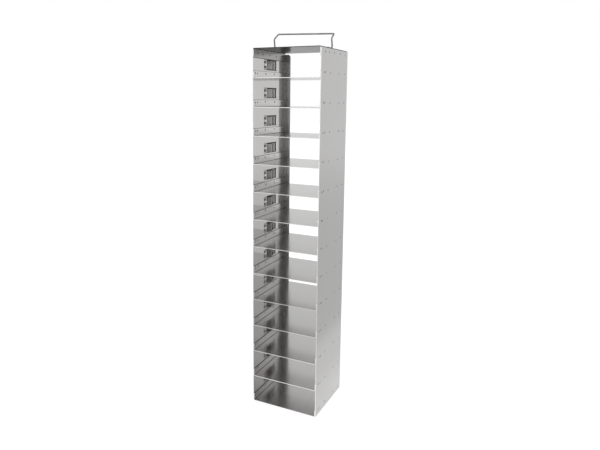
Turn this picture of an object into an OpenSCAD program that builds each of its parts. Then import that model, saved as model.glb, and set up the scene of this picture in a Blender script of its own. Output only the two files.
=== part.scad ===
// Cryogenic storage rack: a tall open tower of folded stainless sheet that holds flat
// freezer boxes one above the other and is lifted by a wire bail.
// X runs across the rack, Y from its open front to its back, Z up.
// The origin is on the floor, under the middle of the rack.

/* [Rack] */
// Outside width over the two side walls
rack_w = 143; // [125:1:180]
// Outside depth, from the open front to the back of the rear flanges
rack_d = 136.5; // [125:0.5:180]
// Number of compartments, one above the other
compartment_count = 13; // [2:1:13]
// Clear height of a compartment, from plate to plate
compartment_h = 54.5; // [50:0.5:80]

/* [Sheet] */
// Thickness of the folded sheet
sheet_t = 1.2; // [0.8:0.1:1.6]
// Inside radius of every fold
fold_r = 1; // [0.6:0.1:2]

/* [Side walls] */
// Width of the inturned flange down the back of each side wall
rear_flange_w = 14.7; // [10:0.1:20]
// Radius of the two free corners of a rear flange
rear_flange_corner_r = 6; // [2:0.5:7]
// Height cut away above and below a rear flange
rear_flange_relief_h = 3.5; // [2:0.5:8]

/* [Plates] */
// Height of the upturned side flanges of a shelf, as a share of a compartment's
shelf_flange_share = 0.275; // [0.15:0.005:0.285]
// Height of the downturned side flanges of the top plate, as a share of a compartment's
top_flange_share = 0.33; // [0.15:0.005:0.335]
// Radius of the free corners of these side flanges
side_flange_corner_r = 4.5; // [1:0.5:6]

/* [Spring clips] */
// Distance of a clip window behind the front edge of the left wall
window_inset = 44; // [30:1:50]
// Length of a clip window, front to back
window_len = 55.5; // [52:0.5:60]
// Height of a clip window, as a share of a compartment's
window_share = 0.385; // [0.3:0.005:0.385]
// Radius of the two rear corners of a clip window
window_corner_r = 3; // [1:0.5:5]
// Slot above and below the spring leaf in its window
leaf_side_gap = 0.8; // [0.5:0.1:1.5]
// Hairline between the root of the leaf and the front edge of the window
leaf_root_gap = 0.3; // [0.2:0.05:0.5]
// Slot behind the free end of the leaf
leaf_end_gap = 8; // [5:0.5:9]
// Length of the flat root of the leaf
leaf_root_len = 11; // [8:0.5:12]
// How far the crest of the leaf stands in from the wall
crest_h = 5; // [3.5:0.25:5.5]
// Outside radius of the crest
crest_r = 4.2; // [3:0.1:6]
// Slope of the leaf from its root up to the crest, degrees
ramp_slope = 22; // [18:1:40]
// Slope of the leaf from the crest back down, degrees
return_slope = 17; // [14:1:26]
// Height of each of the two relief slots that free the root
relief_slot_h = 4.4; // [3:0.2:5]
// Length of these relief slots
relief_slot_len = 9; // [5:0.5:9]
// Radius of the free corners of the leaf
leaf_corner_r = 1.5; // [0.5:0.25:2.5]

/* [Wire bail] */
// Diameter of the wire
wire_d = 3; // [2:0.25:4]
// Centre line of each leg, in from the outside of the wall
leg_inset = 9.5; // [8:0.5:14]
// Pivot line of the bail, behind the front edge
pivot_inset = 75; // [60:1:85]
// How far the knees stand forward of the pivot line
knee_forward = 3.8; // [1:0.2:6]
// Height of the left knee over the pivot
left_knee_h = 20.4; // [16:0.2:24]
// Height of the right knee over the pivot: the wire is bent by hand
right_knee_h = 18.3; // [15:0.1:24]
// How far the grip stands behind the knees
grip_back = 15.6; // [12:0.2:20]
// Height of the left end of the grip over the pivot
left_grip_h = 31.7; // [28:0.1:38]
// Height of the right end of the grip over the pivot
right_grip_h = 28.1; // [27:0.1:38]
// How far each end of the grip is drawn in towards the middle
grip_draw_in = 1.3; // [0.5:0.1:3]
// Centre line radius of the bends of the bail
wire_bend_r = 3.6; // [2.5:0.1:4.5]
// Length of each foot of the bail, in from its leg
foot_len = 15; // [13:0.5:20]

/* [Saddles] */
// Width of a saddle strap along the pivot
saddle_w = 6; // [4:0.5:7]
// Thickness of a saddle strap
saddle_t = 1.2; // [0.8:0.1:1.6]
// Length of each flat foot of a saddle
saddle_foot_len = 5; // [3:0.5:8]
// Running clearance around the wire in its saddles
saddle_gap = 0.1; // [0.05:0.01:0.15]
// Length of wire that shows past the inner side of a saddle
foot_proud = 2.5; // [1:0.5:4]

/* [Hidden] */
$fn = 48;
// One overrun for every cut
overrun = 2;

// A plate every pitch, and one more on top
pitch = compartment_h + sheet_t;
rack_h = compartment_count * pitch + sheet_t;
shelf_count = compartment_count - 1;

// Outer and inner faces of the tower
wall_x = rack_w / 2;
wall_inner_x = wall_x - sheet_t;
front_y = -rack_d / 2;
back_y = rack_d / 2;
flange_front_y = back_y - sheet_t;
plate_w = 2 * wall_inner_x;
plate_d = flange_front_y - front_y;
fold_outer_r = fold_r + sheet_t;
// The walls end where the folds of the top plate begin, so the folds stand bare over them
wall_h = rack_h - fold_outer_r;

shelf_flange_h = shelf_flange_share * compartment_h;
top_flange_h = top_flange_share * compartment_h;

// The window sits at half the height of its compartment
window_h = window_share * compartment_h;
window_y = front_y + window_inset;
window_mid_h = sheet_t + compartment_h / 2;

// The leaf, as a strip that is folded four times
leaf_h = window_h - 2 * leaf_side_gap;
leaf_y = window_y + leaf_root_gap;
leaf_len = window_len - leaf_root_gap - leaf_end_gap;
leaf_mid_r = fold_r + sheet_t / 2;
crest_mid_r = crest_r - sheet_t / 2;
leaf_bend_sum = leaf_mid_r + crest_mid_r;
ramp_len = (crest_h - leaf_bend_sum * (1 - cos(ramp_slope))) / sin(ramp_slope);
return_len = (crest_h - leaf_bend_sum * (1 - cos(return_slope))) / sin(return_slope);
ramp_run = leaf_bend_sum * sin(ramp_slope) + ramp_len * cos(ramp_slope);
return_run = leaf_bend_sum * sin(return_slope) + return_len * cos(return_slope);
tail_len = leaf_len - leaf_root_len - ramp_run - return_run;
// The relief slots stand at this share of the half height of the leaf
relief_slot_share = 0.5;
// Largest turn between two points along a fold of the leaf, degrees
fold_step = 5;

// The bail
wire_r = wire_d / 2;
saddle_r = wire_r + saddle_gap;
pivot_y = front_y + pivot_inset;
pivot_z = rack_h + saddle_r;
leg_x = wall_x - leg_inset;
saddle_x = leg_x - foot_len + foot_proud + saddle_w / 2;
// In a bend the wire is thinner by this share of its radius, and a straight length
// laps into the bend by its own share
bend_thin_share = 0.004;
bend_lap_share = 0.06;

function two_digits(i) = str(i < 10 ? "0" : "", i);
function shelf_name(i) = str("shelf_", two_digits(i));
function clip_name(i) = str("spring_clip_", two_digits(i));

function unit(v) = v / norm(v);

// A rectangle from the origin whose corners on the far side in Y are rounded
module round_ended(size, r) {
    square([size.x, size.y - r]);
    translate([r, 0]) square([size.x - 2 * r, size.y]);
    for (x = [r, size.x - r]) translate([x, size.y - r]) circle(r);
}

// A fold of the sheet: a quarter ring in the first quadrant
module fold_section() {
    intersection() {
        difference() {
            circle(fold_outer_r);
            circle(fold_r);
        }
        square(fold_outer_r);
    }
}

// The section of a plate with two upturned flanges, its underside on the X axis
module channel_section(w, h) {
    translate([fold_outer_r - w / 2, 0]) square([w - 2 * fold_outer_r, sheet_t]);
    for (side = [0, 1]) mirror([side, 0]) {
        translate([w / 2 - fold_outer_r, fold_outer_r]) mirror([0, 1]) fold_section();
        translate([w / 2 - sheet_t, fold_outer_r]) square([sheet_t, h - fold_outer_r]);
    }
}

// A shelf, with its underside at the origin's height and its front edge at front_y
module channel_plate(h) {
    intersection() {
        translate([0, back_y, 0]) rotate([90, 0, 0])
            linear_extrude(rack_d) channel_section(plate_w, h);
        translate([-plate_w / 2, front_y, 0]) rotate([90, 0, 90])
            linear_extrude(plate_w) round_ended([plate_d, h], side_flange_corner_r);
    }
}

// The right-hand wall in plan: a flat side, a fold and the inturned rear flange
module wall_section() {
    translate([wall_inner_x, front_y]) square([sheet_t, rack_d - fold_outer_r]);
    translate([wall_x - fold_outer_r, back_y - fold_outer_r]) fold_section();
    translate([wall_x - rear_flange_w, flange_front_y])
        square([rear_flange_w - fold_outer_r, sheet_t]);
}

// What is cut off at one end of a rear flange: a strip, and the corner beyond it
module rear_flange_end() {
    cut_y = back_y - fold_outer_r;
    cut_d = fold_outer_r + overrun;
    r = rear_flange_corner_r;
    translate([wall_x - rear_flange_w - overrun, cut_y, -overrun])
        cube([rear_flange_w + 2 * overrun, cut_d, rear_flange_relief_h + overrun]);
    translate([wall_x - rear_flange_w, back_y + overrun, rear_flange_relief_h])
        rotate([90, 0, 0]) linear_extrude(cut_d) difference() {
            translate([-overrun, -overrun]) square(r + overrun);
            translate([r, r]) circle(r);
        }
}

module side_wall() {
    difference() {
        linear_extrude(wall_h) wall_section();
        rear_flange_end();
        translate([0, 0, rack_h]) mirror([0, 0, 1]) rear_flange_end();
    }
}

module right_wall() {
    color("lightgray") side_wall();
}

// A clip window as a cutter through the left wall, at the middle of its height
module window_cut() {
    translate([-wall_x - overrun, window_y, 0]) rotate([90, 0, 90])
        linear_extrude(sheet_t + 2 * overrun)
            translate([0, window_h / 2]) rotate(-90)
                round_ended([window_h, window_len], window_corner_r);
}

module left_wall() {
    color("lightgray") difference() {
        mirror([1, 0, 0]) side_wall();
        for (i = [1:compartment_count]) translate([0, 0, clip_z(i)]) window_cut();
    }
}

// Compartments, shelves and clips are counted from the top
function plate_z(i) = (compartment_count - i) * pitch;
function clip_z(i) = plate_z(i) + window_mid_h;

module shelf(i) {
    color("silver") translate([0, 0, plate_z(i)]) channel_plate(shelf_flange_h);
}

module bottom_plate() {
    color("silver") channel_plate(shelf_flange_h);
}

module top_plate() {
    color("silver") translate([0, 0, rack_h]) mirror([0, 0, 1]) channel_plate(top_flange_h);
}

// Runs and folds of the leaf in plan: length of the run, turn after it, and the turn's
// centre line radius
leaf_steps = [
    [leaf_root_len, ramp_slope, leaf_mid_r],
    [ramp_len, -ramp_slope - return_slope, crest_mid_r],
    [return_len, return_slope, leaf_mid_r],
    [tail_len, 0, 0]
];

function across(heading) = [-sin(heading), cos(heading)];
function along(heading) = [cos(heading), sin(heading)];

// One side of the strip, at an offset to the left of its centre line, from step i on
function strip_side(steps, offset, p, heading, i) =
    let (
        run_end = p + steps[i][0] * along(heading),
        turn = steps[i][1],
        pull = sign(turn) * steps[i][2],
        centre = run_end + pull * across(heading),
        count = ceil(abs(turn) / fold_step),
        next_p = centre - pull * across(heading + turn)
    )
    i == len(steps) - 1
        ? [run_end + offset * across(heading)]
        : concat(
            [for (k = [0:count]) centre + (offset - pull) * across(heading + turn * k / count)],
            strip_side(steps, offset, next_p, heading + turn, i + 1)
        );

function reversed(list) = [for (k = [len(list) - 1:-1:0]) list[k]];

// The folded strip seen from above: it runs along X from its root and bulges towards Y
module leaf_section() {
    half_t = sheet_t / 2;
    near = strip_side(leaf_steps, -half_t, [0, half_t], 0, 0);
    far = strip_side(leaf_steps, half_t, [0, half_t], 0, 0);
    polygon(concat([[0, 0]], near, reversed(far), [[0, sheet_t]]));
}

// The outline of the leaf seen from the side, with its relief slots open to the root
module leaf_outline() {
    difference() {
        translate([0, leaf_h / 2]) rotate(-90) round_ended([leaf_h, leaf_len], leaf_corner_r);
        for (side = [-1, 1]) translate([0, side * relief_slot_share * leaf_h / 2]) {
            translate([-overrun, -relief_slot_h / 2])
                square([overrun + relief_slot_len - relief_slot_h / 2, relief_slot_h]);
            translate([relief_slot_len - relief_slot_h / 2, 0]) circle(relief_slot_h / 2);
        }
    }
}

module spring_clip(i) {
    bulge = sheet_t + crest_h + overrun;
    color("darkgray") translate([-wall_x, leaf_y, clip_z(i)]) intersection() {
        // The strip runs back along Y and bulges into the rack
        translate([0, 0, -leaf_h / 2]) mirror([1, -1, 0]) linear_extrude(leaf_h) leaf_section();
        translate([-overrun, 0, 0]) rotate([90, 0, 90])
            linear_extrude(bulge + overrun) leaf_outline();
    }
}

// A straight length of wire
module wire_run(a, b) {
    axis = unit(b - a);
    side = unit(cross(axis, abs(axis.x) > abs(axis.z) ? [0, 0, 1] : [1, 0, 0]));
    up = cross(axis, side);
    multmatrix([
        [side.x, up.x, axis.x, a.x],
        [side.y, up.y, axis.y, a.y],
        [side.z, up.z, axis.z, a.z]
    ]) cylinder(h = norm(b - a), r = wire_r);
}

function turn(a, b, c) = acos(unit(b - a) * unit(c - b));
function bend_setback(a, b, c) = wire_bend_r * tan(turn(a, b, c) / 2);

// The bend of the wire at b, on the way from a to c
module wire_bend(a, b, c) {
    u = unit(b - a);
    v = unit(c - b);
    m = unit(v - (v * u) * u);
    n = cross(u, m);
    centre = b - bend_setback(a, b, c) * u + wire_bend_r * m;
    multmatrix([
        [-m.x, u.x, n.x, centre.x],
        [-m.y, u.y, n.y, centre.y],
        [-m.z, u.z, n.z, centre.z]
    ]) rotate_extrude(angle = turn(a, b, c))
        translate([wire_bend_r, 0]) circle(wire_r * (1 - bend_thin_share));
}

// Wire along a list of points, with a bend at each point between its ends
module bent_wire(points) {
    last = len(points) - 1;
    for (k = [1:last]) {
        a = points[k - 1];
        b = points[k];
        lap = bend_lap_share * wire_r;
        start = k == 1 ? 0 : bend_setback(points[k - 2], a, b) - lap;
        end = k == last ? 0 : bend_setback(a, b, points[k + 1]) - lap;
        wire_run(a + start * unit(b - a), b - end * unit(b - a));
    }
    for (k = [1:last - 1]) wire_bend(points[k - 1], points[k], points[k + 1]);
}

// The bail, from one foot to the other, with the pivot line as its X axis
module handle_bail() {
    grip_x = leg_x - grip_draw_in;
    grip_y = grip_back - knee_forward;
    color("gray") translate([0, pivot_y, pivot_z]) bent_wire([
        [foot_len - leg_x, 0, 0],
        [-leg_x, 0, 0],
        [-leg_x, -knee_forward, left_knee_h],
        [-grip_x, grip_y, left_grip_h],
        [grip_x, grip_y, right_grip_h],
        [leg_x, -knee_forward, right_knee_h],
        [leg_x, 0, 0],
        [leg_x - foot_len, 0, 0]
    ]);
}

// The strap over one foot of the bail, seen along the pivot, with the plate as its X axis
module saddle_section() {
    strap_r = saddle_r + saddle_t;
    foot_end = strap_r + saddle_foot_len;
    difference() {
        union() {
            translate([0, saddle_r]) circle(strap_r);
            translate([-strap_r, 0]) square([2 * strap_r, saddle_r]);
            translate([-foot_end, 0]) square([2 * foot_end, saddle_t]);
        }
        translate([0, saddle_r]) circle(saddle_r);
        translate([-saddle_r, -overrun]) square([2 * saddle_r, saddle_r + overrun]);
        translate([-foot_end, -strap_r - overrun]) square([2 * foot_end, strap_r + overrun]);
    }
}

module saddle(x) {
    color("silver") translate([x - saddle_w / 2, pivot_y, rack_h]) rotate([90, 0, 90])
        linear_extrude(saddle_w) saddle_section();
}

module left_saddle() {
    saddle(-saddle_x);
}

module right_saddle() {
    saddle(saddle_x);
}

left_wall();
right_wall();
bottom_plate();
top_plate();
for (i = [1:shelf_count]) shelf(i);
for (i = [1:compartment_count]) spring_clip(i);
handle_bail();
left_saddle();
right_saddle();
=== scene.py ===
import math
import random

import bmesh
import bpy
from mathutils import Matrix, Vector


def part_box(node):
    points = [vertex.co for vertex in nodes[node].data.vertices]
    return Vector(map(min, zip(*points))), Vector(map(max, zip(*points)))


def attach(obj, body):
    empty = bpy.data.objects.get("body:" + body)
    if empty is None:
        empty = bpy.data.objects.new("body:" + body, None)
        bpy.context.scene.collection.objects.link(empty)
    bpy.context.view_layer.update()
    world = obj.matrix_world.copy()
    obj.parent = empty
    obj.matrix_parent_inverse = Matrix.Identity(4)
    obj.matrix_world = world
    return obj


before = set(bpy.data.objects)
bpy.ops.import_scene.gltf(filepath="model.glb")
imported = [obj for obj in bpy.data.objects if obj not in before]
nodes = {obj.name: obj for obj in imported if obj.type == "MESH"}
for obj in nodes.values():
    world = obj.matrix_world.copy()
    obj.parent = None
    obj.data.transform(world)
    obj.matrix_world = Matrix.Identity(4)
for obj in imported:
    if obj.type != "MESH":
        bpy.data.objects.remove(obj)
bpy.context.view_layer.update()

scene = bpy.context.scene
scene.view_settings.view_transform = "Standard"
mm = 0.001

# where the sheets stand, read from the solids
wallLow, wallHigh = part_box("left_wall")
shelfLow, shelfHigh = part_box("shelf_01")
clipLow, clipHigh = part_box("spring_clip_01")
rackHalfWidth = -wallLow.x
rackFront = wallLow.y
rackBack = wallHigh.y
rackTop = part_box("top_plate")[1].z
shelfNames = sorted(name for name in nodes if name.startswith("shelf_"))
clipNames = sorted(name for name in nodes if name.startswith("spring_clip_"))
clipFoot = min(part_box(name)[0].z for name in clipNames)
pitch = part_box(shelfNames[0])[0].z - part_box(shelfNames[1])[0].z
sheetThickness = rackHalfWidth + shelfLow.x
print("frame:", len(nodes), "nodes, pitch", round(pitch / mm, 2), "mm, sheet", round(sheetThickness / mm, 2), "mm")


class Signal:
    # one socket, with the Math nodes behind Python's own operators
    def __init__(self, recipe, socket):
        self.recipe = recipe
        self.socket = socket

    def math(self, operation, first, second=0.0):
        return self.recipe.node("ShaderNodeMath", {"operation": operation}, {0: first, 1: second})

    def __add__(self, other):
        return self.math("ADD", self, other)

    def __sub__(self, other):
        return self.math("SUBTRACT", self, other)

    def __rsub__(self, other):
        return self.math("SUBTRACT", other, self)

    def __mul__(self, other):
        return self.math("MULTIPLY", self, other)

    def __truediv__(self, other):
        return self.math("DIVIDE", self, other)

    def __gt__(self, other):
        return self.math("GREATER_THAN", self, other)

    def __lt__(self, other):
        return self.math("LESS_THAN", self, other)

    def __mod__(self, other):
        return self.math("MODULO", self, other)

    def __pow__(self, other):
        return self.math("POWER", self, other)

    def __abs__(self):
        return self.math("ABSOLUTE", self)

    __radd__ = __add__
    __rmul__ = __mul__


class Recipe:
    # one node tree, and the one way in which nodes are added to it
    def __init__(self, tree):
        self.tree = tree
        tree.nodes.clear()

    def node(self, kind, settings=None, inputs=None, out=0):
        made = self.tree.nodes.new(kind)
        for key, value in (settings or {}).items():
            if key == "stops":
                ramp = made.color_ramp.elements
                while len(ramp) < len(value):
                    ramp.new(1.0)
                for stop, (place, colour) in zip(ramp, value):
                    stop.position = place
                    stop.color = (*colour, 1.0)
            else:
                setattr(made, key, value)
        for key, value in (inputs or {}).items():
            if isinstance(value, Signal):
                self.tree.links.new(value.socket, made.inputs[key])
            else:
                made.inputs[key].default_value = value
        return Signal(self, made.outputs[out]) if made.outputs else None

    def objectPlace(self):
        return self.node("ShaderNodeTexCoord", out="Object")

    def axis(self, vector, index):
        return self.node("ShaderNodeSeparateXYZ", {}, {0: vector}, out=index)

    def facing(self, index):
        # how far a face looks along one axis
        return self.axis(self.node("ShaderNodeNewGeometry", out="True Normal"), index)

    def larger(self, first, second):
        return self.node("ShaderNodeMath", {"operation": "MAXIMUM"}, {0: first, 1: second})

    def noise(self, place, perMetre, detail=3.0, rough=0.55, shift=(0.0, 0.0, 0.0)):
        stretched = self.node("ShaderNodeMapping", {}, {"Vector": place, "Scale": perMetre, "Location": shift})
        return self.node("ShaderNodeTexNoise", {}, {
            "Vector": stretched, "Scale": 1.0, "Detail": detail, "Roughness": rough})

    def spread(self, value, low, high, newLow=0.0, newHigh=1.0):
        return self.node("ShaderNodeMapRange", {"interpolation_type": "SMOOTHSTEP"},
                         {"Value": value, "From Min": low, "From Max": high, "To Min": newLow, "To Max": newHigh})

    def blend(self, amount, first, second):
        def colour(value):
            return value if isinstance(value, Signal) else (*value, 1.0)
        return self.node("ShaderNodeMix", {"data_type": "RGBA"}, {
            0: amount, 6: colour(first), 7: colour(second)}, out=2)

    def shade(self, colour, amount):
        # a colour made lighter or darker by a number that changes over the surface
        return self.node("ShaderNodeVectorMath", {"operation": "SCALE"}, {0: colour, 3: amount})


def newMaterial(name):
    material = bpy.data.materials.new(name)
    material.use_nodes = True
    return material, Recipe(material.node_tree)


def closeMaterial(recipe, colour, roughness, metallic, normal, constants=None):
    inputs = {"Base Color": colour, "Roughness": roughness, "Metallic": metallic}
    if normal is not None:
        inputs["Normal"] = normal
    inputs.update(constants or {})
    surface = recipe.node("ShaderNodeBsdfPrincipled", {}, inputs)
    recipe.node("ShaderNodeOutputMaterial", {}, {"Surface": surface})


wallLook = {
    "tone": (0.560, 0.552, 0.549),
    "grain": (900.0, 900.0, 9.0),      # fine lines along the height
    "streaks": (120.0, 120.0, 1.6),
    "scratches": (700.0, 500.0, 14.0),
    "scratchSpan": (0.70, 0.77),
    "roughness": 0.14,
    "wave": (7.0, 7.0, 5.0),
    "waveDepth": 0.10 * mm,
    "grainDepth": 0.005 * mm,
    # cut edges lighter than the face, near white with painted highlight
    "edgeTone": (1.0, 0.985, 0.97),
    "metallic": 0.93,
    "inside": 1.13,                     # painted light: the inside faces lighter than the outside
    "smoother": 0.07,                   # less rough there, too
    "fold": {"streaks": (280.0, 1.0, 2.5), "span": (0.86, 1.18), "rougher": 0.13,
             "reach": 14.7 * mm, "across": (1.5, 0.86),       # painted light, brighter towards its free edge
             "low": (1.22, 0.97)},                            # and painted light towards its foot
}
plateLook = {
    "tone": (0.562, 0.553, 0.550),
    "grain": (900.0, 9.0, 900.0),      # fine lines from front to back
    "streaks": (120.0, 1.6, 120.0),
    "scratches": (600.0, 10.0, 600.0),  # left by boxes that slide in and out
    "scratchSpan": (0.66, 0.73),
    "roughness": 0.21,
    "wave": (7.0, 7.0, 7.0),
    "waveDepth": 0.10 * mm,
    "grainDepth": 0.008 * mm,
    "edgeTone": (1.0, 0.98, 0.965),
    "sheen": 0.95,
    "metallic": 0.93,                   # the rest is a thin grey haze
    "flange": 1.24,                     # painted light: the flanges made lighter
    "under": 1.14,                      # and the undersides too
}
# the floor plate is darker towards its front edge, and the lid's underside carries painted shade, darker than the
# shelves
bottomLook = dict(plateLook, roughness=0.25, metallic=0.86, front=0.80)
topLook = dict(plateLook, dullAndShade=0.86, sheen=0.45, roughness=0.22, crease=0.9,
               cut=(0.05, 0.048, 0.046), flange=1.0, under=1.0)
clipLook = {
    "tone": (0.552, 0.542, 0.535),
    "grain": (900.0, 900.0, 20.0),
    "streaks": (150.0, 150.0, 6.0),
    "scratches": (500.0, 30.0, 700.0),
    "scratchSpan": (0.66, 0.74),
    "roughness": 0.13,
    "wave": (30.0, 30.0, 30.0),
    "waveDepth": 0.02 * mm,
    "grainDepth": 0.001 * mm,
    "edgeTone": (0.30, 0.285, 0.27),
    "metallic": 0.88,
    "shadeBand": (1.0 * mm, 2.3 * mm),     # painted shade, dark along its lower and upper edge
    "shade": (0.70, 0.95),              # painted shade: the lower leaves darker
    "root": 12.5 * mm,                  # the slotted end, flat in the window
    "tongueHighlight": 2.4 * mm,                 # painted highlight between the two slots
    "tongueHighlightTone": (0.96, 0.83, 0.70),
    "leg": 0.25,                        # painted shade: how much darker the leg behind the crest is
    "crest": 0.40,                      # and painted shade on the crest
    "facing": 0.15,                     # between them, by how far a face looks back
    "rootShade": 0.25,
}
# dark: painted shade on the shaded cut edges
edgeLook = {"dark": (0.17, 0.165, 0.16), "roughness": 0.42, "metallic": 0.8, "nicks": 260.0, "worn": (0.80, 0.50)}
steelMix = {
    "clean": 0.965, "grain": 0.035, "streaks": 0.035, "scratch": 0.04,    # shares in the tone
    "smooth": -0.02, "smudged": 0.03, "streaked": 0.02, "scratched": 0.06,    # and in the roughness
    "smudge": (16.0, 16.0, 16.0), "smudgeSpan": (0.42, 0.62), "smudgeTone": 0.98,
}


def sheetSteel(name, look, edgeMask, shadedEdgeMask, rimMask=None):
    material, recipe = newMaterial(name)
    place = recipe.objectPlace()
    grain = recipe.noise(place, look["grain"], 4.0, 0.6)
    streaks = recipe.noise(place, look["streaks"], 3.0, 0.55, (3.1, 1.7, 0.4))
    smudge = recipe.noise(place, steelMix["smudge"], 4.0, 0.62, (0.7, 5.2, 2.9))
    wave = recipe.noise(place, look["wave"], 1.0, 0.4, (1.9, 0.3, 4.4))
    rawScratch = recipe.noise(place, look["scratches"], 2.0, 0.5, (8.2, 4.1, 6.6))
    scratch = recipe.spread(rawScratch, *look["scratchSpan"]) * recipe.spread(smudge, *steelMix["smudgeSpan"])
    edge = edgeMask(recipe, place)
    nick = recipe.noise(place, (edgeLook["nicks"],) * 3, 3.0, 0.6)

    tone = steelMix["clean"] + steelMix["grain"] * grain + steelMix["streaks"] * streaks
    tone = tone - steelMix["scratch"] * scratch
    if "dullAndShade" in look:
        # painted shade: faces that don't look up, such as the lid's underside, made darker
        tone = tone * recipe.spread(recipe.facing(2), 0.2, 0.6, look["dullAndShade"], 1.0)
    if "front" in look:
        # darker towards the front edge of the floor plate
        tone = tone * recipe.spread(
            recipe.axis(place, 1), rackFront - 20.0 * mm, rackFront + 60.0 * mm, look["front"], 1.0)
    if "shadeBand" in look:
        # painted shade and a painted highlight on the clip leaf
        tone, tongueHighlight = leafTone(recipe, place, tone, look)
    if "inside" in look:
        inside = (recipe.facing(0) * recipe.axis(place, 0)) < 0.0
        # painted light: the inside faces of a wall made lighter
        tone = tone * (1 + (look["inside"] - 1) * inside)
    if "fold" in look:
        fold = (steepness(recipe, 1) > 0.5) * (recipe.axis(place, 1) > rackBack - 3.0 * mm)
        foldStreaks = recipe.noise(place, look["fold"]["streaks"], 3.0, 0.6)
        rubbed = recipe.spread(foldStreaks, 0.3, 0.7, *look["fold"]["span"])
        # painted light: the rear fold brighter towards its free edge and towards its foot
        freeEdge = rackHalfWidth - look["fold"]["reach"]
        across = recipe.spread(offMiddle(recipe, place), freeEdge, freeEdge + 9.0 * mm, *look["fold"]["across"])
        along = recipe.spread(recipe.axis(place, 2), 0.12 * rackTop, 0.6 * rackTop, *look["fold"]["low"])
        tone = tone * (1 - fold) + tone * fold * rubbed * across * along
    if rimMask:
        # painted shade: a dark line along each flange's free edge, and in the bends
        crease = (steepness(recipe, 0) < 0.96) * (steepness(recipe, 2) < 0.96) * (steepness(recipe, 1) < 0.5)
        shadows = recipe.larger(rimMask(recipe, place), crease)
        # painted light: flanges and undersides made lighter
        tone = tone * (1 + (look["flange"] - 1) * (steepness(recipe, 0) > 0.9))
        tone = tone * (1 + (look["under"] - 1) * (recipe.facing(2) < -0.9))
        # the shelf face darker along its fold with the flange, more so higher up
        near, along = flangeRim["grime"]
        grime = recipe.spread(offMiddle(recipe, place), flangeRim["fold"] - near, flangeRim["fold"] - along)
        dirt = recipe.spread(recipe.axis(place, 2), *flangeRim["used"], *flangeRim["dirt"])
        tone = tone * (1 - look.get("crease", 0.8) * shadows) * (1 - dirt * grime * (steepness(recipe, 2) > 0.9))
    smudgeTone = tuple(part * steelMix["smudgeTone"] for part in look["tone"])
    colour = recipe.shade(recipe.blend(smudge, look["tone"], smudgeTone), tone)
    if "shadeBand" in look:
        # the painted highlight at the leaf's root
        colour = recipe.blend(tongueHighlight, colour, look["tongueHighlightTone"])
    # cut edges: near white with painted highlight, and dark with painted shade where the mask says
    cutColour = recipe.blend(shadedEdgeMask(recipe, place), look["edgeTone"], look.get("cut", edgeLook["dark"]))
    leastWorn, wear = edgeLook["worn"]
    colour = recipe.blend(edge, colour, recipe.shade(cutColour, leastWorn + wear * nick))

    roughness = look["roughness"] + steelMix["smooth"] + steelMix["smudged"] * smudge
    roughness = roughness + steelMix["streaked"] * streaks + steelMix["scratched"] * scratch
    roughness = roughness * (1 - edge) + edge * edgeLook["roughness"]
    if "fold" in look:
        roughness = roughness + look["fold"]["rougher"] * fold - look["smoother"] * inside * (1 - fold)
    metallic = look["metallic"] - edge * (look["metallic"] - edgeLook["metallic"])

    waved = recipe.node("ShaderNodeBump", {}, {"Strength": 1.0, "Distance": look["waveDepth"], "Height": wave})
    ground = recipe.node("ShaderNodeBump", {}, {
        "Strength": 1.0, "Distance": look["grainDepth"], "Height": grain - 0.6 * scratch, "Normal": waved})
    sheen = look.get("sheen", 1.0)
    closeMaterial(recipe, colour, roughness, metallic, ground, {"Specular Tint": (sheen, sheen, sheen, 1.0)})
    return material


def steepness(recipe, index):
    # how far a face looks along one axis, either way
    return abs(recipe.facing(index))


def wallEdge(recipe, place):
    # cut edges: faces that don't look sideways, in front of the rear fold
    return (steepness(recipe, 0) < 0.5) * (recipe.axis(place, 1) < rackBack - 3.0 * mm)


def wallShadedEdge(recipe, place):
    # painted shade: the top and bottom edges of a wall or a clip are dark
    return steepness(recipe, 2) > 0.5


def offMiddle(recipe, place):
    return abs(recipe.axis(place, 0))


def plateEdge(recipe, place):
    # the front and back edges of the floor, and the free edges of the flanges
    onFlange = (steepness(recipe, 2) > 0.5) * (offMiddle(recipe, place) > rackHalfWidth - 2.05 * sheetThickness)
    return recipe.larger(steepness(recipe, 1) > 0.5, onFlange)


def plateShadedEdge(recipe, place):
    # painted shade: the free edges of the flanges and the front edge of the top plate are dark
    onTop = recipe.axis(place, 2) > rackTop - 2 * sheetThickness
    return recipe.larger(steepness(recipe, 2) > 0.93, onTop)


flangeRim = {
    "width": 0.9 * mm,
    "corner": 4.5 * mm,
    "fold": rackHalfWidth - 3 * sheetThickness,
    "grime": (1.6 * mm, 0.4 * mm),      # darker this close to the fold
    "dirt": (0.22, 0.6),                # darker on the upper shelves
    "used": (0.40 * rackTop, 0.75 * rackTop),
    "shelfHeight": shelfHigh.z - shelfLow.z,
    "topHeight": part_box("top_plate")[1].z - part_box("top_plate")[0].z,
}


def flangeOutline(recipe, place, below):
    # painted shade: a dark line along the free edge of a flange and round its front corner
    corner = flangeRim["corner"]
    inward = [recipe.larger(corner - depth, 0.0) for depth in (recipe.axis(place, 1) - rackFront, below)]
    reach = (inward[0] * inward[0] + inward[1] * inward[1]) ** 0.5
    return (steepness(recipe, 0) > 0.5) * recipe.spread(reach, corner - flangeRim["width"], corner - 0.3 * mm)


def shelfRim(recipe, place):
    overFloor = (recipe.axis(place, 2) + 0.01 * mm) % pitch
    return flangeOutline(recipe, place, flangeRim["shelfHeight"] - overFloor)


def topRim(recipe, place):
    return flangeOutline(recipe, place, recipe.axis(place, 2) - (rackTop - flangeRim["topHeight"]))


def clipEdge(recipe, place):
    return steepness(recipe, 2) > 0.5


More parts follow.
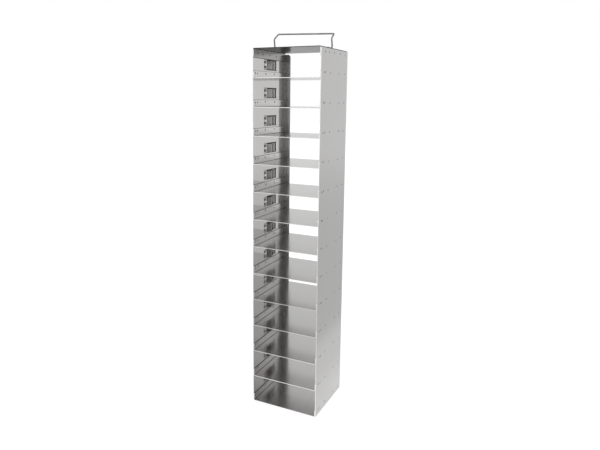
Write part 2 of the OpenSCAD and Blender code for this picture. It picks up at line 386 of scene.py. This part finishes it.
def leafTone(recipe, place, tone, look):
    # the leaf's painted light and shade: dark bands along its edges, a darker leg behind its crest, a darker crest
    # and root, darker lower leaves, and a painted highlight at its root
    height = clipHigh.z - clipLow.z
    room = 2.0 * mm    # so that the count starts under each foot
    aboveCentre = (recipe.axis(place, 2) - (clipFoot - room)) % pitch - (height / 2 + room)
    offCentre = abs(aboveCentre)
    lower, upper = look["shadeBand"]
    width = lower + (upper - lower) * (aboveCentre > 0.0)
    behindRoot = recipe.axis(place, 1) > clipLow.y + look["root"]
    shadeBand = recipe.spread((offCentre - height / 2) / width, -1.0, -0.5) * behindRoot
    backward = recipe.facing(1)
    leg = (backward > look["facing"]) * behindRoot
    crest = (abs(backward) < look["facing"]) * behindRoot
    tongueHighlight = recipe.spread(offCentre, look["tongueHighlight"] * 0.4, look["tongueHighlight"], 0.8, 0.0)
    fromMiddle = abs(recipe.axis(place, 1) - (clipLow.y + 0.62 * look["root"]))
    tongueHighlight = tongueHighlight * recipe.spread(fromMiddle, 1.5 * mm, 5.0 * mm, 1.0, 0.0)
    lowerShade = 1 - recipe.spread(recipe.axis(place, 2), 0.45 * rackTop, 0.60 * rackTop, *look["shade"])
    tone = tone * (1 - lowerShade * behindRoot)
    tone = tone * (1 - look["leg"] * leg) * (1 - look["crest"] * crest)
    return tone * (1 - 0.93 * shadeBand) * (1 - look["rootShade"] * (1 - behindRoot)), tongueHighlight


wallSteel = sheetSteel("wall steel", wallLook, wallEdge, wallShadedEdge)
plateSteel = sheetSteel("plate steel", plateLook, plateEdge, plateShadedEdge, shelfRim)
bottomSteel = sheetSteel("bottom plate steel", bottomLook, plateEdge, plateShadedEdge, shelfRim)
topSteel = sheetSteel("top plate steel", topLook, plateEdge, plateShadedEdge, topRim)
clipSteel = sheetSteel("clip steel", clipLook, clipEdge, wallShadedEdge)

wireLook = {
    "tone": (0.33, 0.318, 0.309),
    "dullAndShade": (0.24, 0.228, 0.22),
    "roughness": 0.30,
    "pits": 1400.0,
    "pitDepth": 0.006 * mm,
}


def wireSteel():
    material, recipe = newMaterial("wire steel")
    place = recipe.objectPlace()
    pits = recipe.noise(place, (wireLook["pits"],) * 3, 4.0, 0.6)
    patches = recipe.noise(place, (90.0, 90.0, 90.0), 3.0, 0.6, (2.0, 7.0, 1.0))
    dullAndShade = recipe.spread(patches, 0.40, 0.68)
    colour = recipe.shade(recipe.blend(dullAndShade, wireLook["tone"], wireLook["dullAndShade"]), 0.9 + 0.2 * pits)
    roughness = wireLook["roughness"] + 0.12 * dullAndShade + 0.08 * pits
    ground = recipe.node("ShaderNodeBump", {}, {"Strength": 1.0, "Distance": wireLook["pitDepth"], "Height": pits})
    closeMaterial(recipe, colour, roughness, 1.0, ground)
    return material


drawnWire = wireSteel()


def weldSteel(name, depth):
    # across the mark's own map: u runs from its middle to its rim, v tells one mark from another
    material, recipe = newMaterial(name)
    markMap = recipe.node("ShaderNodeUVMap", {"uv_map": "markMap"})
    radius = recipe.axis(markMap, 0)
    which = recipe.axis(markMap, 1)
    place = recipe.objectPlace()
    scale = recipe.noise(place, (1500.0, 1500.0, 1500.0), 4.0, 0.65)
    colour = recipe.node("ShaderNodeValToRGB", {"stops": [
        (0.00, (0.300, 0.262, 0.232)), (0.42, (0.225, 0.190, 0.165)), (0.62, (0.125, 0.105, 0.095)),
        (0.80, (0.215, 0.205, 0.215)), (1.00, (0.44, 0.43, 0.425))]}, {0: radius + 0.10 * scale - 0.05})
    colour = recipe.shade(colour, depth * (0.42 + 0.75 * which + 0.3 * scale))
    roughness = 0.46 - 0.12 * radius + 0.1 * scale
    ground = recipe.node("ShaderNodeBump", {}, {"Strength": 1.0, "Distance": 0.02 * mm, "Height": scale})
    closeMaterial(recipe, colour, roughness, 1.0, ground)
    return material


outerMark = weldSteel("outer weld mark steel", 0.9)
innerMark = weldSteel("inner weld mark steel", 0.22)
for name, node in nodes.items():
    if name.endswith("_wall"):
        finish = wallSteel
    elif name.startswith("spring_clip_"):
        finish = clipSteel
    elif name == "handle_bail":
        finish = drawnWire
    elif name == "top_plate":
        finish = topSteel
    elif name == "bottom_plate":
        finish = bottomSteel
    else:
        finish = plateSteel
    for place in range(len(node.material_slots)):
        node.material_slots[place].material = finish
print("steel: walls, plates, clips and wire")


marks = {
    "radius": 1.7 * mm,
    "rim": 0.045 * mm,       # how far the rim stands proud of the sheet
    "dish": 0.015 * mm,      # how far the pressed middle does
    "sides": 16,
    "fromFront": {-1: (6.4 * mm, 16.0 * mm, 48.3 * mm, 86.4 * mm, 122.0 * mm),
                  1: (12.8 * mm, 20.6 * mm, 45.0 * mm, 92.0 * mm, 119.5 * mm)},
    "topFromFront": (17.8 * mm, 38.2 * mm, 64.9 * mm, 94.5 * mm, 121.1 * mm),
    "above": 10.2 * mm,      # over the underside of the shelf that it holds
    "below": 9.2 * mm,       # under the upper face of the top plate
    "stray": 1.5 * mm,
}


def pressMark(bm, mapLayer, centre, across, seed, size=1.0):
    # a shallow crater on a plane: outer ring, rim, sloping wall and flat middle
    frameMatrix = Matrix.Translation(centre) @ across.to_track_quat("Z", "Y").to_matrix().to_4x4()
    radius = marks["radius"] * size
    made = bmesh.ops.create_circle(bm, cap_ends=True, radius=radius, segments=marks["sides"], matrix=frameMatrix)
    face = made["verts"][0].link_faces[0]
    rings = [list(face.verts)]
    for inward, lift in ((0.14, marks["rim"]), (0.16, marks["rim"]), (0.22, marks["dish"])):
        bmesh.ops.inset_individual(bm, faces=[face], thickness=radius * inward, use_even_offset=True)
        ring = list(face.verts)
        for vert in ring:
            away = vert.co - centre
            vert.co = centre + (away - across * away.dot(across)) + across * lift
        rings.append(ring)
    middle = bmesh.ops.poke(bm, faces=[face])["verts"][0]
    middle.co = centre + across * marks["dish"] * 0.8
    rings.append([middle])
    for ring in rings:
        for vert in ring:
            reach = (vert.co - centre).length / radius
            for loop in vert.link_loops:
                loop[mapLayer].uv = (reach, seed)


def markPiece(name, spots, finish):
    bm = bmesh.new()
    mapLayer = bm.loops.layers.uv.new("markMap")
    for centre, across, seed, size in spots:
        pressMark(bm, mapLayer, centre, across, seed, size)
    mesh = bpy.data.meshes.new(name)
    for face in bm.faces:
        face.smooth = True
    bm.to_mesh(mesh)
    bm.free()
    piece = bpy.data.objects.new(name, mesh)
    scene.collection.objects.link(piece)
    piece.data.materials.append(finish)
    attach(piece, "frame")
    return piece


dice = random.Random(13)
outerSpots = {-1: [], 1: []}
innerSpots = []
plateOrder = ["top_plate"] + shelfNames + ["bottom_plate"]
for plateName in plateOrder:
    low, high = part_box(plateName)
    onTop = plateName == "top_plate"
    rowHeight = high.z - marks["below"] if onTop else low.z + marks["above"]
    for side in (-1, 1):
        for fromFront in marks["topFromFront"] if onTop else marks["fromFront"][side]:
            y = rackFront + fromFront + dice.uniform(-1, 1) * marks["stray"]
            z = rowHeight + dice.uniform(-0.6, 0.8) * marks["stray"]
            seed = dice.uniform(0.35, 1.0) if fromFront > 30 * mm else dice.uniform(0.0, 0.3)
            size = dice.uniform(0.85, 1.1)
            outerSpots[side].append((Vector((side * rackHalfWidth, y, z)), Vector((side, 0, 0)), seed, size))
            innerFace = side * (rackHalfWidth - 2 * sheetThickness)
            innerSpots.append((Vector((innerFace, y, z)), Vector((-side, 0, 0)), dice.random(), size))
markPiece("left_weld_marks", outerSpots[-1], outerMark)
markPiece("right_weld_marks", outerSpots[1], outerMark)
markPiece("flange_weld_marks", innerSpots, innerMark)

saddleSpots = []
for saddleName in ("left_saddle", "right_saddle"):
    low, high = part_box(saddleName)
    middleX = (low.x + high.x) / 2
    footTop = rackTop + 1.2 * mm
    for y in (low.y + 2.4 * mm, high.y - 2.4 * mm):
        saddleSpots.append((Vector((middleX, y, footTop)), Vector((0, 0, 1)), dice.random(), 0.9))
markPiece("saddle_weld_marks", saddleSpots, outerMark)
print("weld marks:", sum(len(spots) for spots in outerSpots.values()) + len(innerSpots) + len(saddleSpots))


shot = {
    "place": (474.6 * mm, -1018.55 * mm, 630.9 * mm),
    "yaw": 26.30, "pitch": -9.164, "roll": 0.443,   # degrees
    "focal": 557.77, "centre": (287.29, 188.21),      # pixels of the 600 x 450 frame
    "frame": (600.0, 450.0),
    "sensor": 36.0,
}


def placeCamera():
    yaw, pitchAngle, roll = (math.radians(shot[key]) for key in ("yaw", "pitch", "roll"))
    level = math.cos(pitchAngle)
    forward = Vector((-math.sin(yaw) * level, math.cos(yaw) * level, math.sin(pitchAngle)))
    across = forward.cross(Vector((0, 0, 1))).normalized()
    rise = across.cross(forward)
    right = across * math.cos(roll) + rise * math.sin(roll)
    up = rise * math.cos(roll) - across * math.sin(roll)
    width, height = shot["frame"]
    data = bpy.data.cameras.new("camera")
    data.sensor_width = shot["sensor"]
    data.lens = shot["focal"] * shot["sensor"] / width
    data.shift_x = (width / 2 - shot["centre"][0]) / width
    data.shift_y = (shot["centre"][1] - height / 2) / width
    data.clip_start = 0.01
    camera = bpy.data.objects.new("camera", data)
    scene.collection.objects.link(camera)
    turned = Matrix((right, up, -forward)).transposed().to_4x4()
    camera.matrix_world = Matrix.Translation(shot["place"]) @ turned
    scene.camera = camera


placeCamera()

light = {
    "plainLevel": 0.72,     # what plain surfaces get from all round
    "backLevel": 0.86,      # what steel sees behind the rack, to the right
    "backLeft": 0.99,
    "rightFront": 0.34,     # and in front of it, on either side of the camera
    "leftFront": 1.3,
    "overhead": 0.68,
    "lampPower": 6.0,
    "lampSize": 1.6,
    "lampPlace": (0.9, -0.5, 2.3),
    "floorTone": 0.50,
    "floorCamera": 1.10,
    "floorNear": 0.85,      # the lit table that the rack stands on, as steel sees it
    "floorMid": 0.66,
    "floorAhead": 0.62,     # in front of the table, and nearer to it
    "floorFront": 0.40,
    "footLightPool": 0.18,      # a painted pool of light, seen only in reflections, added close to the rack's own foot
    "tableHalf": 0.20,
    "floorSize": 12.0,
    "floorDrop": 0.2 * mm,
}
# where one level gives way to the next: in the sky by direction, on the floor in metres
skyBands = {"frontSide": (-0.35, 0.25), "behind": (-0.40, 0.20), "backSide": (-0.5, 0.4), "low": (0.10, 0.32),
            "overhead": (0.35, 0.85)}
floorBands = {"ahead": (-0.45, -0.15), "farAhead": (-1.3, -0.45), "foot": (0.07, 0.15), "far": (0.4, 6.0),
              "side": (-1.5, 1.5)}
flag = {
    "gap": 1.0 * mm,
    "clearOf": 20.0 * mm,
    "fromFront": 42.0 * mm,
    "length": 65.0 * mm,
    "foot": 9.0 * mm,
    "tone": (0.050, 0.048, 0.046),
}


def makeSky():
    world = bpy.data.worlds.new("studio")
    scene.world = world
    world.use_nodes = True
    recipe = Recipe(world.node_tree)
    direction = recipe.node("ShaderNodeTexCoord", out="Generated")
    ray = recipe.node("ShaderNodeLightPath", out="Is Camera Ray")
    through = recipe.node("ShaderNodeLightPath", out="Is Transmission Ray")
    glossy = recipe.node("ShaderNodeLightPath", out="Is Glossy Ray")
    seen = recipe.larger(ray, through)
    front = recipe.spread(recipe.axis(direction, 0), *skyBands["frontSide"], light["leftFront"], light["rightFront"])
    behind = recipe.spread(recipe.axis(direction, 1), *skyBands["behind"])
    extra = light["backLeft"] - light["backLevel"]
    back = recipe.spread(recipe.axis(direction, 0), *skyBands["backSide"], extra, 0.0)
    back = back * recipe.spread(recipe.axis(direction, 2), *skyBands["low"], 1.0, 0.0) + light["backLevel"]
    roomLevel = front * (1 - behind) + behind * back
    upward = recipe.spread(recipe.axis(direction, 2), *skyBands["overhead"])
    roomLevel = roomLevel * (1 - upward) + upward * light["overhead"]
    level = seen + (1 - seen) * (glossy * roomLevel + (1 - glossy) * light["plainLevel"])
    sky = recipe.node("ShaderNodeBackground", {}, {"Color": (1.0, 1.0, 1.0, 1.0), "Strength": level})
    recipe.node("ShaderNodeOutputWorld", {}, {"Surface": sky})


def makeFloor():
    bm = bmesh.new()
    bmesh.ops.create_grid(bm, x_segments=1, y_segments=1, size=light["floorSize"])
    bmesh.ops.translate(bm, vec=(0.0, 0.0, -light["floorDrop"]), verts=bm.verts)
    mesh = bpy.data.meshes.new("floor")
    bm.to_mesh(mesh)
    bm.free()
    floor = bpy.data.objects.new("floor", mesh)
    scene.collection.objects.link(floor)
    material, recipe = newMaterial("floor white")
    ray = recipe.node("ShaderNodeLightPath", out="Is Camera Ray")
    through = recipe.node("ShaderNodeLightPath", out="Is Transmission Ray")
    glossy = recipe.node("ShaderNodeLightPath", out="Is Glossy Ray")
    seen = recipe.larger(ray, through)
    place = recipe.objectPlace()
    aside = abs(recipe.axis(place, 0))
    away = recipe.node("ShaderNodeVectorMath", {"operation": "LENGTH"}, {0: place}, out=1)
    half = light["tableHalf"]
    table = recipe.spread(aside, half - 0.02, half + 0.03, light["floorNear"], light["floorMid"])
    ahead = recipe.spread(recipe.axis(place, 1), *floorBands["ahead"], 1.0, 0.0)
    inFront = recipe.spread(recipe.axis(place, 1), *floorBands["farAhead"], light["floorAhead"], light["floorFront"])
    table = table * (1 - ahead) + ahead * inFront
    # painted pool of light near the rack's foot, seen only by steel
    table = table + recipe.spread(aside, *floorBands["foot"], light["footLightPool"], 0.0)
    far = recipe.spread(away, *floorBands["far"]) * (1 - ahead)
    farLevel = recipe.spread(recipe.axis(place, 0), *floorBands["side"], light["backLeft"], light["backLevel"])
    steelSees = table * (1 - far) + far * farLevel
    tone = light["floorTone"]
    matteLevel = tone * light["plainLevel"]
    matte = recipe.node("ShaderNodeBsdfDiffuse", {}, {"Color": (tone, tone, tone, 1.0)})
    strength = seen * (light["floorCamera"] - matteLevel) + glossy * (steelSees - matteLevel)
    glow = recipe.node("ShaderNodeEmission", {}, {"Color": (1.0, 1.0, 1.0, 1.0), "Strength": strength})
    both = recipe.node("ShaderNodeAddShader", {}, {0: matte, 1: glow})
    recipe.node("ShaderNodeOutputMaterial", {}, {"Surface": both})
    mesh.materials.append(material)


def makeFlag():
    # a narrow dark card stands against the left wall, glowing with its own dark tone as painted shade; only what
    # looks out through the clip windows sees it, not the outside of the rack
    bm = bmesh.new()
    upright = Matrix.Rotation(math.pi / 2, 4, "Y")
    bmesh.ops.create_grid(bm, x_segments=1, y_segments=1, size=0.5, matrix=upright)
    height = wallHigh.z - 2 * flag["foot"]
    bmesh.ops.scale(bm, vec=(1.0, flag["length"], height), verts=bm.verts)
    middle = (-rackHalfWidth - flag["gap"], rackFront + flag["fromFront"] + flag["length"] / 2, wallHigh.z / 2)
    bmesh.ops.translate(bm, vec=middle, verts=bm.verts)
    mesh = bpy.data.meshes.new("side_flag")
    bm.to_mesh(mesh)
    bm.free()
    card = bpy.data.objects.new("side_flag", mesh)
    scene.collection.objects.link(card)
    material, recipe = newMaterial("flag black")
    behind = recipe.node("ShaderNodeNewGeometry", out="Backfacing")
    nearBy = recipe.node("ShaderNodeLightPath", out="Ray Length") < flag["clearOf"]
    unseen = recipe.larger(behind, nearBy)
    shadeGlow = recipe.node("ShaderNodeEmission", {}, {"Color": (*flag["tone"], 1.0), "Strength": 1.0})
    clear = recipe.node("ShaderNodeBsdfTransparent")
    both = recipe.node("ShaderNodeMixShader", {}, {0: unseen, 1: shadeGlow, 2: clear})
    recipe.node("ShaderNodeOutputMaterial", {}, {"Surface": both})
    mesh.materials.append(material)
    for ray in ("diffuse", "shadow", "transmission"):
        setattr(card, "visible_" + ray, False)


def makeLamp():
    data = bpy.data.lights.new("top box", "AREA")
    data.shape = "SQUARE"
    data.size = light["lampSize"]
    data.energy = light["lampPower"]
    lamp = bpy.data.objects.new("top box", data)
    scene.collection.objects.link(lamp)
    lamp.location = light["lampPlace"]
    aim = Vector((0, 0, rackTop / 2)) - lamp.location
    lamp.rotation_euler = aim.to_track_quat("-Z", "Y").to_euler()


makeSky()
makeFloor()
makeFlag()
makeLamp()
print("studio: camera, sky, floor, flag and lamp")
